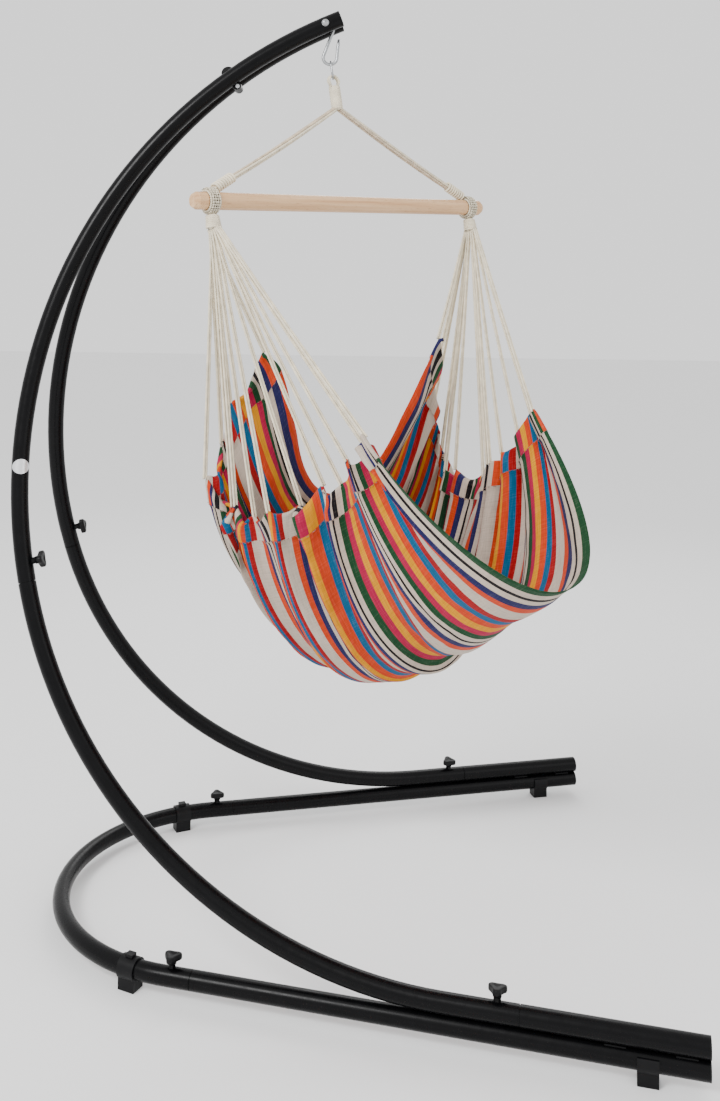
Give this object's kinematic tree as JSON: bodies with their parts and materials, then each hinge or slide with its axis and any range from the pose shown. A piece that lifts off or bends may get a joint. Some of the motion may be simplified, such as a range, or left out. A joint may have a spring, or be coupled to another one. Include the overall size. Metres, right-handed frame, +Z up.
{
  "type": "hammock chair on stand",
  "caption": "Striped cloth hammock chair hung by cords and a wooden spreader bar from a C-shaped tubular steel floor stand.",
  "frame": {"origin": "on the ground, at the middle of the whole part's footprint", "axes": "+X from the curved spine towards the leg tips, +Y to the stand's left, +Z up"},
  "size_m": [1.4757, 1.32, 2.1755],
  "materials": {
    "black_coating": "satin powder coat",
    "black_plastic": "fine grained",
    "zinc_steel": "zinc plated",
    "badge_plate": "satin",
    "cotton_rope": "twisted cotton",
    "beech": "clear oiled",
    "striped_canvas": "striped plain weave",
    "hem_canvas": "folded striped weave"
  },
  "bodies": {
    "stand": {"base_u_tube": "black_coating", "right_leg_tube": "black_coating", "left_leg_tube": "black_coating", "right_stub_tube": "black_coating", "left_stub_tube": "black_coating", "right_lower_arc": "black_coating", "left_lower_arc": "black_coating", "right_upper_arc": "black_coating", "left_upper_arc": "black_coating", "weld_beads": "black_coating", "weld_nuts": "black_coating", "right_tip_caps": "black_plastic", "left_tip_caps": "black_plastic", "top_caps": "black_plastic", "front_right_foot": "black_plastic", "front_left_foot": "black_plastic", "rear_right_foot": "black_plastic", "rear_left_foot": "black_plastic", "arc_spacer": "black_plastic", "spacer_bolt": "zinc_steel", "spacer_nut": "zinc_steel", "top_bolt": "zinc_steel", "top_nut": "zinc_steel", "top_bush": "zinc_steel", "badge": "badge_plate"},
    "hook": {"s_hook": "zinc_steel"},
    "ring": {"hook_ring": "zinc_steel"},
    "yoke": {"rope_loop": "cotton_rope", "loop_wrap": "cotton_rope", "right_bridle": "cotton_rope", "left_bridle": "cotton_rope", "spreader_bar": "beech"},
    "seat": {"right_eye": "cotton_rope", "left_eye": "cotton_rope", "right_neck": "cotton_rope", "left_neck": "cotton_rope", "right_cords": "cotton_rope", "left_cords": "cotton_rope", "back_cloth": "striped_canvas", "seat_cloth": "striped_canvas", "front_cloth": "striped_canvas", "right_hem": "hem_canvas", "left_hem": "hem_canvas"},
    "rear_right_screw": {"rear_right_knob": "black_plastic", "rear_right_stud": "zinc_steel"},
    "rear_left_screw": {"rear_left_knob": "black_plastic", "rear_left_stud": "zinc_steel"},
    "front_right_screw": {"front_right_knob": "black_plastic", "front_right_stud": "zinc_steel"},
    "front_left_screw": {"front_left_knob": "black_plastic", "front_left_stud": "zinc_steel"},
    "middle_right_screw": {"middle_right_knob": "black_plastic", "middle_right_stud": "zinc_steel"},
    "middle_left_screw": {"middle_left_knob": "black_plastic", "middle_left_stud": "zinc_steel"}
  },
  "joints": [
    {"name": "hook_swing", "type": "hinge", "parent": "stand", "child": "hook", "pos_m": [-0.02377, 0, 2.14091], "axis": [0, 1, 0], "range_deg": [-10, 14]},
    {"name": "ring_side_swing", "type": "hinge", "parent": "hook", "child": "ring", "pos_m": [-0.00955, 0, 2.04799], "axis": [0.9885, 0, 0.1513], "range_deg": [-9, 15]},
    {"name": "chair_twist", "type": "hinge", "parent": "ring", "child": "yoke", "pos_m": [-0.00501, -0.00321, 2.01831], "axis": [-0.1504, 0.1063, 0.9829], "range_deg": [-40, 1]},
    {"name": "seat_swing", "type": "hinge", "parent": "yoke", "child": "seat", "pos_m": [0.04428, -0.03803, 1.6962], "axis": [0.7676, 0.6391, 0.0484], "range_deg": [-20, 20]},
    {"name": "rear_right_screw_turn", "type": "hinge", "parent": "stand", "child": "rear_right_screw", "pos_m": [-0.30704, -0.38759, 0.042], "axis": [0, 0, 1], "continuous": true},
    {"name": "rear_left_screw_turn", "type": "hinge", "parent": "stand", "child": "rear_left_screw", "pos_m": [-0.30704, 0.38759, 0.042], "axis": [0, 0, 1], "continuous": true},
    {"name": "front_right_screw_turn", "type": "hinge", "parent": "stand", "child": "front_right_screw", "pos_m": [0.34986, -0.54712, 0.0826], "axis": [0.0292, 0.1201, 0.9923], "continuous": true},
    {"name": "front_left_screw_turn", "type": "hinge", "parent": "stand", "child": "front_left_screw", "pos_m": [0.34986, 0.54712, 0.0826], "axis": [0.0292, -0.1201, 0.9923], "continuous": true},
    {"name": "middle_right_screw_turn", "type": "hinge", "parent": "stand", "child": "middle_right_screw", "pos_m": [-0.69143, -0.19543, 0.85234], "axis": [0.9756, -0.036, 0.2167], "continuous": true},
    {"name": "middle_left_screw_turn", "type": "hinge", "parent": "stand", "child": "middle_left_screw", "pos_m": [-0.69143, 0.19543, 0.85234], "axis": [0.9756, 0.036, 0.2167], "continuous": true}
  ]
}
